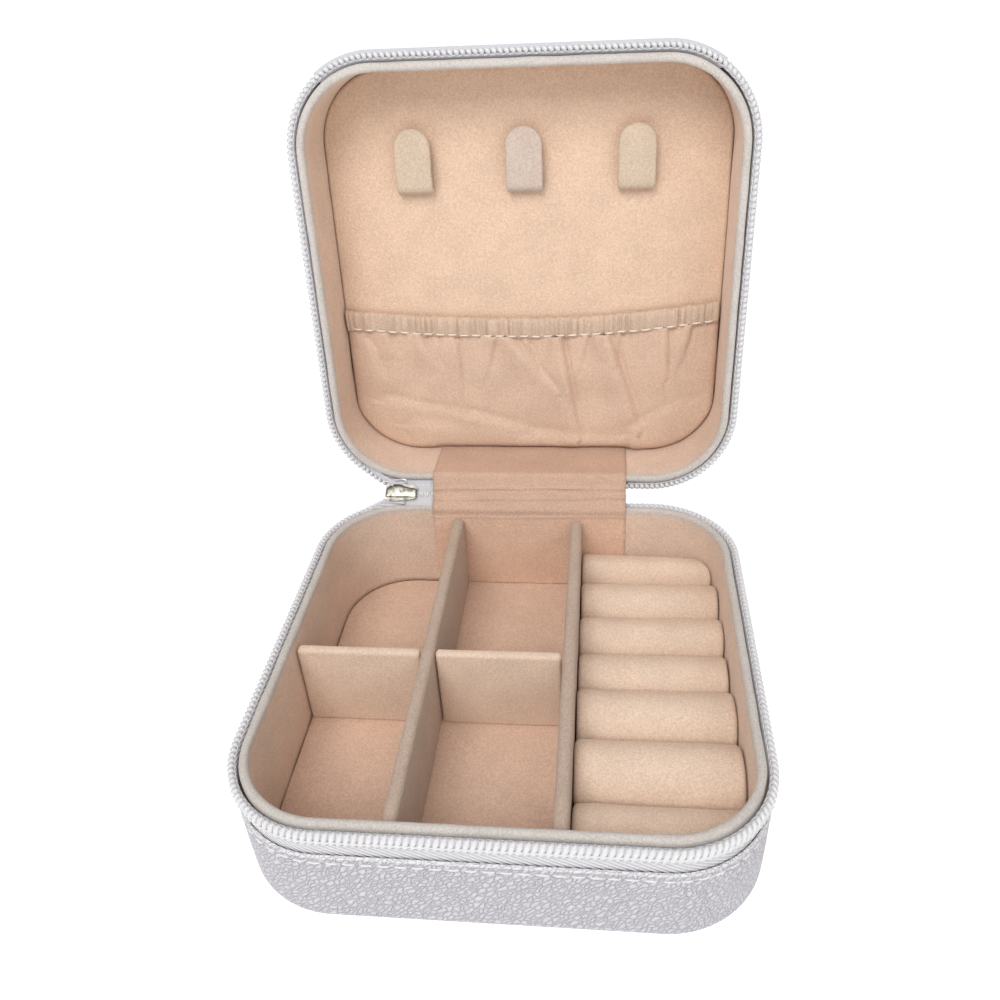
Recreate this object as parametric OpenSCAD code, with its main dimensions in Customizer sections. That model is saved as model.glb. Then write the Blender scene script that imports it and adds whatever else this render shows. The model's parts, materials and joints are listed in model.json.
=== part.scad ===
// Zip-round travel jewelry box, standing open.
// x runs to the right, y to the hinge at the back, z up from the table.
// The origin is the centre of the bottom face. The lid is drawn like a second
// base, turned over onto the base, and then swung open about the hinge line.

/* [Case] */
// Width and depth of the closed case, measured over the zip
case_w = 100; // [96:1:110]
// Corner radius of the case, measured over the zip
corner_r = 20; // [18:0.5:22]
// Height of the base, from the table to its velvet rim
base_h = 26; // [24:0.5:30]
// Height of the lid, from its velvet rim to its top
lid_h = 19.5; // [18:0.5:24]
// How far the lid stands open
open_angle = 95.15; // [80:0.05:105]

/* [Walls] */
// How far the leather sits inside the zip
leather_in = 0.4; // [0.3:0.1:0.8]
// Thickness of the leather cover
leather_t = 0.7; // [0.6:0.1:1]
// Thickness of the board in the side walls
board_t = 0.9; // [0.8:0.1:1.2]
// Thickness of the velvet-wrapped lining frame
lining_t = 1.8; // [1.6:0.1:2.2]
// Radius of the soft edge between a side wall and the bottom or top
edge_r = 2.5; // [2:0.1:3]
// Thickness of the board in the bottom, and in the lid's top
flat_board_t = 1; // [0.8:0.1:1.2]
// Thickness of the velvet pad on the floor
floor_pad_t = 0.5; // [0.4:0.1:0.8]
// Thickness of the foam under the lid's leather
foam_t = 0.9; // [0.8:0.1:1.2]
// Thickness of the padded panel inside the lid
panel_t = 1.3; // [1:0.1:1.6]

/* [Zip] */
// Thickness of the zip tape
tape_t = 0.4; // [0.3:0.1:0.4]
// How far the leather's folded edge lies below the rim
fold_drop = 6.8; // [6:0.1:8]
// How far the tape runs down behind the leather
tape_tuck = 3; // [2:0.5:4]
// Height of the band of coil teeth
coil_h = 3.4; // [3:0.1:4]
// How far the teeth lie below the rim
coil_drop = 0.3; // [0.2:0.1:0.6]
// Length of the slider
slider_l = 8; // [7:0.5:9]
// Length of the pull tab
pull_l = 17; // [12:1:18]

/* [Hinge] */
// Width of the hinge strips along the back
hinge_w = 48.5; // [40:0.5:56]
// How far the hinge line lies behind the case
hinge_back = 1.5; // [1.3:0.1:2]
// How far the hinge line lies above the base's rim
hinge_up = 1.3; // [1.1:0.1:1.6]
// Gap between the two rims when the box is shut
rim_gap = 0.4; // [0.3:0.1:0.6]
// Thickness of the velvet hinge strip
strip_t = 0.5; // [0.4:0.1:0.6]

/* [Tray] */
// Middle of the left long divider
left_divider_x = -17.7; // [-19:0.1:-16]
// Middle of the right long divider
right_divider_x = 12.1; // [11:0.1:14]
// Thickness of the long dividers
long_t = 2.8; // [2.4:0.1:3.2]
// Thickness of the cross dividers
cross_t = 2.2; // [1.8:0.1:2.6]
// Middle of the cross dividers
cross_y = -2.5; // [-6:0.5:6]
// How far the long dividers stay below the rim
divider_drop = 2.6; // [2:0.1:4]
// Clearance round a cross divider, which lifts out
lift_gap = 0.25; // [0.2:0.05:0.4]
// Thickness of the card under the ring rolls
card_t = 0.5; // [0.4:0.1:0.8]

/* [Lid fittings] */
// Width of a necklace hook
hook_w = 8.3; // [7:0.1:10]
// Length of a necklace hook
hook_l = 14.3; // [12:0.1:16]
// Thickness of a necklace hook
hook_t = 1.3; // [1:0.1:1.6]
// Gap behind a necklace hook
hook_gap = 2; // [1.6:0.1:3]
// Distance between neighbouring hooks
hook_pitch = 25.2; // [20:0.1:28]
// Distance from the hinge side to a hook's fold
hook_up = 69.6; // [60:0.1:75]
// Distance from the hinge side to the pocket's mouth
pocket_up = 41.2; // [36:0.1:48]
// Depth of the elastic hem
hem_h = 4.6; // [3.5:0.1:6]
// Thickness of the pocket cloth
cloth_t = 1; // [0.8:0.1:1.2]
// Space behind the pocket cloth
pocket_gap = 2; // [1.5:0.1:3]

/* [Hidden] */

$fn = 64;
eps = 0.01;
arc_steps = 8;

case_half = case_w / 2;
corner_at = case_half - corner_r;
board_in = leather_in + leather_t;
tape_in = board_in;
rim_in = board_in + board_t;
inner_in = rim_in + lining_t;
inner_half = case_half - inner_in;
lip_in = leather_in + edge_r;
rim_r = lining_t / 2;

base_frame_z = leather_t + flat_board_t;
floor_z = base_frame_z + floor_pad_t;
lid_frame_z = leather_t + foam_t + flat_board_t;
panel_z = lid_frame_z + panel_t;
panel_in = inner_in + 0.2;
pocket_in = inner_in + 0.7;

// The hinge line, and the velvet rims beside it
hinge_y = case_half + hinge_back;
hinge_z = base_h + hinge_up;
rim_mid_y = case_half - rim_in - rim_r;
strip_gap = 0.08;
strip_face_y = inner_half - strip_t - 2 * strip_gap;

// Places along the zip at the back, as x
zip_start_x = -hinge_w / 2 - 0.1;
stretch_x = -28.2;
slider_x = stretch_x - 0.2 - slider_l / 2;
notch_x = -41;
stop_l = 2.2;
notch_h = coil_h + coil_drop + eps;
chain_y = case_half - 0.6;
chain_z = base_h + rim_gap / 2;
chain_h = 2.6;
chain_t = 1.1;

// Slider parts, across the chain and outwards from it
plate_h = 4.7;
plate_t = 0.5;
channel_t = 1.1;
rail_t = 0.5;
bar_r = 0.45;
bar_out = 3.4;
loop_r = 1.8;
wire_r = 0.3;
loop_drop = loop_r - wire_r - bar_r - 0.1;
tab_w = 5;
tab_t = 0.8;
tab_hole_r = 0.9;
tab_eye_r = 1.6;
slider_run = 4;
// Reach of the slider's inner corner as it swings past the base's rim
dent_r = 4.75;

divider_top = base_h - divider_drop;
cross_top = divider_top - 0.3;
card_z = floor_z + card_t;
bed_x0 = right_divider_x + long_t / 2 + 0.5;
bed_x1 = inner_half - 0.3;
// Rolls from the back to the front, as [middle, radius], and the lines where
// neighbours press against each other
ROLLS = [
    [38.9, 6.6], [28.8, 6.2], [16.7, 6.2], [4.6, 6.1],
    [-8.5, 7.1], [-23.2, 7.6], [-38.1, 7.4]
];
ROLL_SEAMS = [45.5, 35.1, 22.7, 10.6, -1.5, -15.6, -30.75, -45.6];

velvet = [0.88, 0.74, 0.64];
velvet_rim = [0.76, 0.71, 0.67];
leather = [0.9, 0.89, 0.91];
board = [0.62, 0.56, 0.48];
tape = [0.8, 0.8, 0.82];
coil = [0.93, 0.93, 0.94];
metal = [0.75, 0.76, 0.78];

// Points of an arc from angle a0 to angle a1
function arc(mid, r, a0, a1, steps = arc_steps) = [
    for (i = [0:steps]) let (a = a0 + (a1 - a0) * i / steps)
        [mid[0] + r * cos(a), mid[1] + r * sin(a)]
];

// Where a point [y, z] of the shut box goes when the hinge opens by an angle
function swing(p, a) = let (y = p[0] - hinge_y, z = p[1] - hinge_z)
    [hinge_y + y * cos(a) + z * sin(a), hinge_z - y * sin(a) + z * cos(a)];

// Rounded square, set in from the case outline
module outline(inset) {
    half = case_half - inset;
    square([2 * half, 2 * corner_at], center = true);
    square([2 * corner_at, 2 * half], center = true);
    for (sx = [-1, 1], sy = [-1, 1])
        translate([sx * corner_at, sy * corner_at]) circle(corner_r - inset);
}

// Flat rounded plate
module plate(inset, z, t) {
    translate([0, 0, z]) linear_extrude(t) outline(inset);
}

// Upright wall between two insets
module wall(outer_in, inner_in, z0, z1) {
    translate([0, 0, z0]) linear_extrude(z1 - z0) difference() {
        outline(outer_in);
        outline(inner_in);
    }
}

// Carries a profile round the case; x is 0 at the outline, y is the height
module round_case() {
    side = 2 * corner_at;
    for (turn = [0:90:270]) rotate([0, 0, turn]) {
        translate([corner_at, corner_at, 0])
            rotate_extrude(angle = 90) translate([corner_r, 0]) children();
        translate([case_half, corner_at, 0])
            rotate([90, 0, 0]) linear_extrude(side) children();
    }
}

// Block along the back wall between two x values
module back_block(x0, x1, z0, z1) {
    translate([x0, corner_at, z0]) cube([x1 - x0, corner_r + 5, z1 - z0]);
}

// Takes the hinge stretch and the slider's room out of a part of the zip, for
// a case half of height h
module without_zip_ends(h) {
    difference() {
        children();
        back_block(zip_start_x, -zip_start_x, -1, h + 1);
        back_block(notch_x, zip_start_x + eps, h - notch_h, h + 1);
    }
}

// Leather round the side wall, turned under at a soft edge
module cover_band(h) {
    mid = [-lip_in, edge_r];
    outer = arc(mid, edge_r, -90, 0);
    inner = arc(mid, edge_r - leather_t, 0, -90);
    top = h - fold_drop;
    round_case() polygon(concat(outer,
        [[-leather_in, top], [-leather_in - leather_t, top]], inner));
}

// Board inside the side wall, stepped for the zip tape
module board_wall(h) {
    step_z = h - fold_drop - tape_tuck;
    wall(board_in, rim_in, edge_r, step_z);
    wall(tape_in + tape_t, rim_in, step_z - eps, h - 4);
}

module zip_tape(h) {
    without_zip_ends(h)
        wall(tape_in, tape_in + tape_t, h - fold_drop - tape_tuck, h - coil_drop - 0.3);
}

// Band of coil teeth on the outside of the tape
module zip_coil(h) {
    z1 = h - coil_drop;
    z0 = z1 - coil_h;
    soft = 0.45;
    without_zip_ends(h) round_case() polygon(concat(
        [[-tape_in, z0]],
        arc([-soft, z0 + soft], soft, -90, 0, 4),
        arc([-soft, z1 - soft], soft, 0, 90, 4),
        [[-tape_in, z1]]));
}

// Room that the slider needs as it swings, along the hinge line
module slider_sweep() {
    x0 = slider_x - slider_l / 2 - slider_run - 0.4;
    translate([x0, hinge_y, hinge_z]) rotate([0, 90, 0])
        cylinder(h = slider_l + slider_run + 0.8, r = dent_r);
}

// Velvet-wrapped frame with a round rim
module lining_frame(h, z0) {
    round_case() polygon(concat(
        [[-inner_in, z0], [-rim_in, z0]],
        arc([-rim_in - rim_r, h - rim_r], rim_r, 0, 180)));
}

// Sets a part drawn like a base in the lid's place, shut
module as_lid() {
    translate([0, 0, base_h + rim_gap + lid_h]) mirror([0, 0, 1]) children();
}

// Swings a part of the shut box open about the hinge line
module swung(a) {
    translate([0, hinge_y, hinge_z]) rotate([-a, 0, 0])
        translate([0, -hinge_y, -hinge_z]) children();
}

module in_lid() {
    swung(open_angle) as_lid() children();
}

// Draws a profile of y and z, as wide as the hinge
module hinge_sheet() {
    translate([-hinge_w / 2, 0, 0])
        rotate([90, 0, 90]) linear_extrude(hinge_w) children();
}

module base_cover_band() { color(leather) cover_band(base_h); }
module base_cover_bottom() { color(leather) plate(lip_in, 0, leather_t); }
module base_board_wall() { color(board) board_wall(base_h); }
module base_board_bottom() { color(board) plate(lip_in, leather_t, flat_board_t); }
module base_zip_tape() { color(tape) zip_tape(base_h); }
module base_zip_coil() { color(coil) zip_coil(base_h); }

// The rim is pressed in where the slider swings past it
module base_lining_frame() {
    color(velvet_rim) difference() {
        lining_frame(base_h, base_frame_z);
        slider_sweep();
    }
}

module base_floor_pad() { color(velvet) plate(inner_in, base_frame_z, floor_pad_t); }

// Divider from the front wall to the hinge strip or the back wall
module long_divider(x) {
    translate([x - long_t / 2, -inner_half, floor_z])
        cube([long_t, inner_half + strip_face_y, divider_top - floor_z]);
}

module divider_long_left() { color(velvet_rim) long_divider(left_divider_x); }
module divider_long_right() { color(velvet_rim) long_divider(right_divider_x); }

// Divider that lifts out from between two walls
module cross_divider(x0, x1) {
    z0 = floor_z + 0.05;
    translate([x0 + lift_gap, cross_y - cross_t / 2, z0])
        cube([x1 - x0 - 2 * lift_gap, cross_t, cross_top - z0]);
}

module divider_cross_left() {
    color(velvet) cross_divider(-inner_half, left_divider_x - long_t / 2);
}

module divider_cross_mid() {
    color(velvet)
        cross_divider(left_divider_x + long_t / 2, right_divider_x - long_t / 2);
}

// Card under the rolls, with the wall's round corners
module ring_card() {
    color(board) intersection() {
        plate(inner_in + 0.1, floor_z, card_t);
        translate([bed_x0 - 0.3, -case_half, 0])
            cube([case_half, case_half + strip_face_y, base_h]);
    }
}

// Velvet roll, flat where it is glued down
module ring_roll(i) {
    y = ROLLS[i][0];
    r = ROLLS[i][1];
    sink = 0.3;
    y0 = ROLL_SEAMS[i + 1] + 0.03;
    color(velvet) intersection() {
        translate([bed_x0, y, card_z + r - sink])
            rotate([0, 90, 0]) cylinder(h = bed_x1 - bed_x0, r = r);
        translate([bed_x0 - 1, y0, card_z]) cube([case_half, ROLL_SEAMS[i] - y0, 3 * r]);
        plate(inner_in + 0.3, card_z, 3 * r);
    }
}

module lid_cover_band() { color(leather) in_lid() cover_band(lid_h); }
module lid_cover_top() { color(leather) in_lid() plate(lip_in, 0, leather_t); }
module lid_foam() { color(velvet_rim) in_lid() plate(lip_in, leather_t, foam_t); }
module lid_board_wall() { color(board) in_lid() board_wall(lid_h); }

module lid_board_top() {
    color(board) in_lid() plate(lip_in, leather_t + foam_t, flat_board_t);
}

module lid_zip_tape() { color(tape) in_lid() zip_tape(lid_h); }
module lid_zip_coil() { color(coil) in_lid() zip_coil(lid_h); }
module lid_lining_frame() { color(velvet_rim) in_lid() lining_frame(lid_h, lid_frame_z); }
module lid_panel() { color(velvet) in_lid() plate(panel_in, lid_frame_z, panel_t); }

// J-shaped hook: a fold off the panel and a tab with a round tip
module necklace_hook(x) {
    fold_y = case_half - hook_up;
    tip_r = hook_w / 2;
    top = panel_z + hook_gap + hook_t;
    fold_mid = [fold_y - hook_t, top - hook_t];
    color(velvet_rim) in_lid() intersection() {
        translate([x - tip_r, 0, 0]) rotate([90, 0, 90]) linear_extrude(hook_w)
            polygon(concat(
                [[fold_y - hook_t, panel_z], [fold_y, panel_z]],
                arc(fold_mid, hook_t, 0, 90, 4),
                [[fold_y - hook_l, top], [fold_y - hook_l, top - hook_t],
                 [fold_y - hook_t, top - hook_t]]));
        linear_extrude(lid_h) {
            translate([x, fold_y - hook_l + tip_r]) circle(tip_r);
            translate([x - tip_r, fold_y - hook_l + tip_r])
                square([hook_w, hook_l - tip_r]);
        }
    }
}

module necklace_hook_left() { necklace_hook(-hook_pitch); }
module necklace_hook_mid() { necklace_hook(0); }
module necklace_hook_right() { necklace_hook(hook_pitch); }

// Pocket cloth, closed along the panel's edge and open at its mouth
module lid_pocket() {
    mouth_y = case_half - pocket_up + hem_h;
    color(velvet) in_lid() intersection() {
        difference() {
            plate(pocket_in, panel_z, pocket_gap + cloth_t);
            plate(pocket_in + cloth_t, panel_z - 1, pocket_gap + 1);
        }
        translate([-case_half, mouth_y, 0]) cube([case_w, case_w, lid_h]);
    }
}

// Gathered hem with the elastic in it
module pocket_hem() {
    mouth_y = case_half - pocket_up;
    half = case_half - pocket_in;
    color(velvet) in_lid()
        translate([-half, mouth_y, panel_z + pocket_gap - 0.4])
            cube([2 * half, hem_h - 0.05, cloth_t + 0.8]);
}

// Leather strip from the base's folded edge to the lid's, bent round the hinge line
module hinge_spine() {
    bend_r = 6;
    y0 = case_half - leather_in;
    lid_edge = base_h + rim_gap + fold_drop - 0.3;
    bend_end = swing([y0, lid_edge - 1.5], open_angle);
    bend_z = bend_end[1] - bend_r * sin(open_angle);
    mid = [y0 + bend_r, bend_z];
    color(leather) hinge_sheet() polygon(concat(
        [[y0 - leather_t, base_h - fold_drop], [y0, base_h - fold_drop]],
        arc(mid, bend_r, 180, 180 - open_angle, 16),
        [swing([y0, lid_edge], open_angle), swing([y0 - leather_t, lid_edge], open_angle)],
        arc(mid, bend_r + leather_t, 180 - open_angle, 180, 16)));
}

// Velvet strip up the back wall, over both rims and onto the lid's panel
module hinge_lining() {
    near = rim_r + strip_gap;
    far = near + strip_t;
    base_mid = [rim_mid_y, base_h - rim_r];
    shut_mid = [rim_mid_y, base_h + rim_gap + rim_r];
    lid_mid = swing(shut_mid, open_angle);
    taut = atan2(lid_mid[1] - base_mid[1], lid_mid[0] - base_mid[0]) + 90;
    last = 180 - open_angle;
    lid_end = base_h + rim_gap + lid_h - panel_z - 0.1;
    color(velvet) hinge_sheet() polygon(concat(
        [[rim_mid_y - near, floor_z + 0.1], [rim_mid_y - far, floor_z + 0.1]],
        arc(base_mid, far, 180, taut, 4),
        arc(lid_mid, far, taut, last, 6),
        [swing([rim_mid_y - far, lid_end], open_angle),
         swing([rim_mid_y - near, lid_end], open_angle)],
        arc(lid_mid, near, last, taut, 6),
        arc(base_mid, near, taut, 180, 4)));
}

// Piece of the meshed chain, drawn shut
module chain(x0, x1) {
    swung(open_angle / 2)
        translate([x0, chain_y - chain_t / 2, chain_z - chain_h / 2])
            cube([x1 - x0, chain_t, chain_h]);
}

module zip_closed_stretch() { color(coil) chain(stretch_x, zip_start_x - 0.1); }

// Thin clip that joins the ends of the rows behind the hinge strip
module zip_end_stop() {
    color(metal) swung(open_angle / 2)
        translate([-zip_start_x - 0.4 - stop_l, chain_y, chain_z - chain_h / 2])
            cube([stop_l, chain_t / 2, chain_h]);
}

// One of the slider's two plates, narrower at the tail
module slider_plate(y) {
    tail_r = 1.2;
    nose_r = 1.4;
    reach = slider_l / 2;
    tail_half = plate_h / 2 - 0.5;
    translate([0, y, 0]) rotate([-90, 0, 0]) linear_extrude(plate_t) {
        for (s = [-1, 1]) {
            translate([-reach + nose_r, s * (plate_h / 2 - nose_r)]) circle(nose_r);
            translate([reach - tail_r, s * (tail_half - tail_r)]) circle(tail_r);
        }
        translate([-reach, -plate_h / 2 + nose_r])
            square([nose_r, plate_h - 2 * nose_r]);
        translate([reach - tail_r, -tail_half + tail_r])
            square([tail_r, 2 * (tail_half - tail_r)]);
        polygon([
            [-reach + nose_r, -plate_h / 2], [reach - tail_r, -tail_half],
            [reach - tail_r, tail_half], [-reach + nose_r, plate_h / 2]
        ]);
    }
}

// Slider with two plates, a wedge, side rails and a bridge for the pull
module zip_slider() {
    inner_y = -channel_t / 2;
    bridge_half = 2.2;
    bridge_w = 2 * bar_r;
    color(metal) swung(open_angle / 2) translate([slider_x, chain_y, chain_z]) {
        slider_plate(inner_y - plate_t);
        slider_plate(channel_t / 2);
        translate([-slider_l / 2 + 2, inner_y - eps, 0])
            rotate([-90, 0, 0]) cylinder(h = channel_t + 2 * eps, r = 1);
        for (s = [-1, 1]) translate([0.5, inner_y - eps, s * 1.6 - rail_t / 2])
            cube([2, channel_t + 2 * eps, rail_t]);
        for (s = [-1, 1])
            translate([s * bridge_half - 0.45, channel_t / 2 + plate_t - eps, -bridge_w / 2])
                cube([0.9, bar_out - channel_t / 2 - plate_t + eps, bridge_w]);
        translate([-bridge_half - 0.45, bar_out, 0])
            rotate([0, 90, 0]) cylinder(h = 2 * bridge_half + 0.9, r = bar_r);
    }
}

// Where the bar of the slider's bridge lies with the box open
function bar_at() = swing([chain_y + bar_out, chain_z], open_angle / 2);

// Wire loop hanging on the bridge's bar
module zip_pull_loop() {
    at = bar_at();
    color(metal) translate([slider_x, at[0], at[1] - loop_drop])
        rotate([0, 90, 0]) rotate_extrude() translate([loop_r, 0]) circle(wire_r, $fn = 24);
}

// Plain pull tab hanging on the loop, with a small eye at its upper end
module zip_pull_tab() {
    at = bar_at();
    hang_z = at[1] - loop_drop - loop_r;
    hole_z = hang_z + wire_r + 0.05 - tab_hole_r;
    end_r = tab_w / 2;
    neck = 1.4 * end_r;
    low = pull_l - tab_eye_r - end_r;
    color(metal) translate([slider_x, at[0] + tab_t / 2, hole_z]) rotate([90, 0, 0])
        linear_extrude(tab_t) difference() {
            union() {
                circle(tab_eye_r);
                translate([-tab_eye_r, -neck - end_r]) square([2 * tab_eye_r, neck + end_r]);
                translate([0, -neck - end_r]) circle(end_r);
                translate([0, -low]) circle(end_r);
                translate([-end_r, -low]) square([tab_w, low - neck - end_r]);
            }
            circle(tab_hole_r);
        }
}

base_cover_band();
base_cover_bottom();
base_board_wall();
base_board_bottom();
base_zip_tape();
base_zip_coil();
base_lining_frame();
base_floor_pad();
divider_long_left();
divider_long_right();
divider_cross_left();
divider_cross_mid();
ring_card();
ring_roll(0);  // ring_roll_1
ring_roll(1);  // ring_roll_2
ring_roll(2);  // ring_roll_3
ring_roll(3);  // ring_roll_4
ring_roll(4);  // ring_roll_5
ring_roll(5);  // ring_roll_6
ring_roll(6);  // ring_roll_7
lid_cover_band();
lid_cover_top();
lid_foam();
lid_board_wall();
lid_board_top();
lid_zip_tape();
lid_zip_coil();
lid_lining_frame();
lid_panel();
necklace_hook_left();
necklace_hook_mid();
necklace_hook_right();
lid_pocket();
pocket_hem();
hinge_spine();
hinge_lining();
zip_closed_stretch();
zip_end_stop();
zip_slider();
zip_pull_loop();
zip_pull_tab();
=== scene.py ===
"""Looks of a small zip-round jewelry box that stands open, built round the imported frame.

Lengths are in metres. x runs right, y to the hinge at the back, z up from the table.
Every part of the lid is drawn like a part of the base, its top on z = 0, and TO_LID
turns it over onto the base and swings it open about the hinge line.
"""
import json
import math

import bpy
from mathutils import Matrix, Vector, noise


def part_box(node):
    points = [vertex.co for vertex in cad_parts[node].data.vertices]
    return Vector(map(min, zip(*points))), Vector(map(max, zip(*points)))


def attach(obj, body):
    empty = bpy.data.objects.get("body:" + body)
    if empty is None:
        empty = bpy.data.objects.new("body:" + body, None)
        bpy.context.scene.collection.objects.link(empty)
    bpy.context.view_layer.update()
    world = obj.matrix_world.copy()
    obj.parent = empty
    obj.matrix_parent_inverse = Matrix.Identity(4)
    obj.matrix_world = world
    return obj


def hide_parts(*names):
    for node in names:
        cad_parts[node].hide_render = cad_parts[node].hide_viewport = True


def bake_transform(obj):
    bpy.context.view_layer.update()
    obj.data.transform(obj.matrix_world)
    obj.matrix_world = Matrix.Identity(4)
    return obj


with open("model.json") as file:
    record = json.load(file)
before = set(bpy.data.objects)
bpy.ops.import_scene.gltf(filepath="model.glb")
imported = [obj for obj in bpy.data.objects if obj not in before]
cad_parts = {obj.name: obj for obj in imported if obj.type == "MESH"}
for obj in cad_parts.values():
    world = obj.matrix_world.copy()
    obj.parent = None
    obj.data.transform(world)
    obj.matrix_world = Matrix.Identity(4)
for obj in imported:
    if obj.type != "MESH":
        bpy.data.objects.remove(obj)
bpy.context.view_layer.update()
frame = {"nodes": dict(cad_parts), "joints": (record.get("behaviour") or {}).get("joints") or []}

# ---------------------------------------------------------------- sizes from the frame

MM = 0.001
BASE_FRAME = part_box("base_lining_frame")
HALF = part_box("base_zip_coil")[1].x
RIM_Z = BASE_FRAME[1].z
FOLD_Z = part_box("base_cover_band")[1].z
FLOOR_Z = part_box("base_floor_pad")[1].z
FRAME_FOOT_Z = BASE_FRAME[0].z
LEATHER_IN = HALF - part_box("base_cover_band")[1].x
TAPE_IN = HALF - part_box("base_zip_tape")[1].x
RIM_IN = HALF - BASE_FRAME[1].x
LIP_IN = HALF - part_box("base_cover_bottom")[1].x
INNER_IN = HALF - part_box("base_floor_pad")[1].x
RIM_R = (INNER_IN - RIM_IN) / 2
LEATHER_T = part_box("base_cover_bottom")[1].z
HINGE_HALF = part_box("hinge_lining")[1].x

JOINTS = {j["name"]: j for j in frame["joints"]}
HINGE = Vector(JOINTS["lid_hinge"]["pos_m"])
OPEN = -math.radians(JOINTS["lid_hinge"]["range_deg"][0])

# The outline's corner radius, over the zip
CORNER_R = 20 * MM
CORNER_AT = HALF - CORNER_R
SIDE = 2 * CORNER_AT
ARC = CORNER_R * math.pi / 2
ROUND = 4 * (SIDE + ARC)


def swing_matrix(angle):
    """Opens a point of the shut box by an angle about the hinge line."""
    return (Matrix.Translation(HINGE) @ Matrix.Rotation(-angle, 4, "X")
            @ Matrix.Translation(-HINGE))


def shut_z(node):
    """Lowest and highest z of a lid node with the lid shut."""
    back = swing_matrix(-OPEN)
    heights = [(back @ v.co).z for v in frame["nodes"][node].data.vertices]
    return min(heights), max(heights)


LID_RIM = shut_z("lid_lining_frame")[0]
LID_TOP = shut_z("lid_cover_top")[1]
LID_H = LID_TOP - LID_RIM
LID_FOLD = LID_TOP - shut_z("lid_cover_band")[0]
LID_FRAME_FOOT = LID_TOP - shut_z("lid_lining_frame")[1]
PANEL_Z0 = LID_TOP - shut_z("lid_panel")[1]
PANEL_Z1 = LID_TOP - shut_z("lid_panel")[0]
PANEL_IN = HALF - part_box("lid_panel")[1].x
TO_LID_FROM_BASE = (swing_matrix(OPEN) @ Matrix.Translation((0, 0, RIM_Z + LID_RIM))
                    @ Matrix.Scale(-1, 4, (0, 0, 1)))
TO_LID = (swing_matrix(OPEN) @ Matrix.Translation((0, 0, LID_TOP))
          @ Matrix.Scale(-1, 4, (0, 0, 1)))


# ------------------------------------------------------------------------ mesh helpers

def on_outline(s):
    """Point and outward normal at distance s round the outline.

    s starts at the middle of the back and first runs left.
    """
    k, t = divmod(s % ROUND + SIDE / 2, SIDE + ARC)
    if t < SIDE:
        p, n = Vector((CORNER_AT - t, HALF)), Vector((0, 1))
    else:
        a = (t - SIDE) / CORNER_R
        n = Vector((-math.sin(a), math.cos(a)))
        p = Vector((-CORNER_AT, CORNER_AT)) + n * CORNER_R
    for _ in range(int(k) % 4):
        p, n = Vector((-p.y, p.x)), Vector((-n.y, n.x))
    return p, n


def inset_at(s, inset, z):
    """Point at distance s round the outline, moved in by inset, at height z."""
    p, n = on_outline(s)
    return Vector((p.x - n.x * inset, p.y - n.y * inset, z))


def line_length(line):
    return sum((b - a).length for a, b in zip(line, line[1:]))


def spread(a, b, step):
    """Evenly spaced numbers from a to b, about step apart."""
    count = max(2, int(round(abs(b - a) / step)))
    return [a + (b - a) * i / count for i in range(count + 1)]


def smooth(t):
    t = min(1.0, max(0.0, t))
    return t * t * (3 - 2 * t)


def arc(mid, r, a0, a1, steps=6):
    """Points of an arc in a profile, angles in degrees."""
    return [
        (mid[0] + r * math.cos(math.radians(a)), mid[1] + r * math.sin(math.radians(a)))
        for a in (a0 + (a1 - a0) * i / steps for i in range(steps + 1))
    ]


def finish_mesh(name, verts, faces, uvs=None, matrix=None):
    """Makes a smooth mesh object; uvs holds one pair for each face corner."""
    mesh = bpy.data.meshes.new(name)
    if matrix is not None:
        verts = [matrix @ Vector(v) for v in verts]
        if matrix.determinant() < 0:
            faces = [tuple(reversed(f)) for f in faces]
            uvs = [list(reversed(c)) for c in uvs] if uvs else None
    mesh.from_pydata([tuple(v) for v in verts], [], faces)
    if uvs:
        layer = mesh.uv_layers.new(name="UVMap")
        flat = [x for corners in uvs for uv in corners for x in uv]
        layer.data.foreach_set("uv", flat)
    mesh.polygons.foreach_set("use_smooth", [True] * len(mesh.polygons))
    mesh.update()
    obj = bpy.data.objects.new(name, mesh)
    bpy.context.scene.collection.objects.link(obj)
    return obj


def loft(name, rings, us=None, vs=None, loop=False, matrix=None):
    """Skins closed rings of equal length. us and vs are the rings' and the points' UVs."""
    n, m = len(rings), len(rings[0])
    us = us or list(range(n + 1))
    vs = vs or list(range(m + 1))
    verts = [p for ring in rings for p in ring]
    faces, uvs = [], []
    for i in range(n if loop else n - 1):
        for j in range(m):
            i2, j2 = (i + 1) % n, (j + 1) % m
            faces.append((i * m + j, i2 * m + j, i2 * m + j2, i * m + j2))
            uvs.append([(us[i], vs[j]), (us[i + 1], vs[j]),
                        (us[i + 1], vs[j + 1]), (us[i], vs[j + 1])])
    if not loop:
        faces.append(tuple(range(m)))
        uvs.append([(us[0], vs[j]) for j in range(m)])
        faces.append(tuple((n - 1) * m + j for j in reversed(range(m))))
        uvs.append([(us[-1], vs[j]) for j in reversed(range(m))])
    return finish_mesh(name, verts, faces, uvs, matrix)


def sweep(name, profile, stations, loop=False, matrix=None, v_from=0, bend=None):
    """Carries a closed profile of (inset, z) round the outline.

    bend, if given, moves each finished point. v is the length along the profile,
    counted from the profile's point v_from.
    """
    rings = []
    for s in stations[:-1] if loop else stations:
        ring = [inset_at(s, d, z) for d, z in profile]
        rings.append([bend(q, s) for q in ring] if bend else ring)
    lengths = [0.0]
    for a, b in zip(profile, profile[1:] + profile[:1]):
        lengths.append(lengths[-1] + math.dist(a, b))
    vs = [x - lengths[v_from] for x in lengths]
    obj = loft(name, rings, list(stations), vs, loop=loop, matrix=matrix)
    return outward(obj)


def outward(obj):
    """Turns a closed mesh's faces outward."""
    obj.data.calc_loop_triangles()
    co = [v.co for v in obj.data.vertices]
    volume = sum(
        co[t.vertices[0]].dot(co[t.vertices[1]].cross(co[t.vertices[2]]))
        for t in obj.data.loop_triangles
    )
    if volume < 0:
        obj.data.flip_normals()
    return obj


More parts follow.
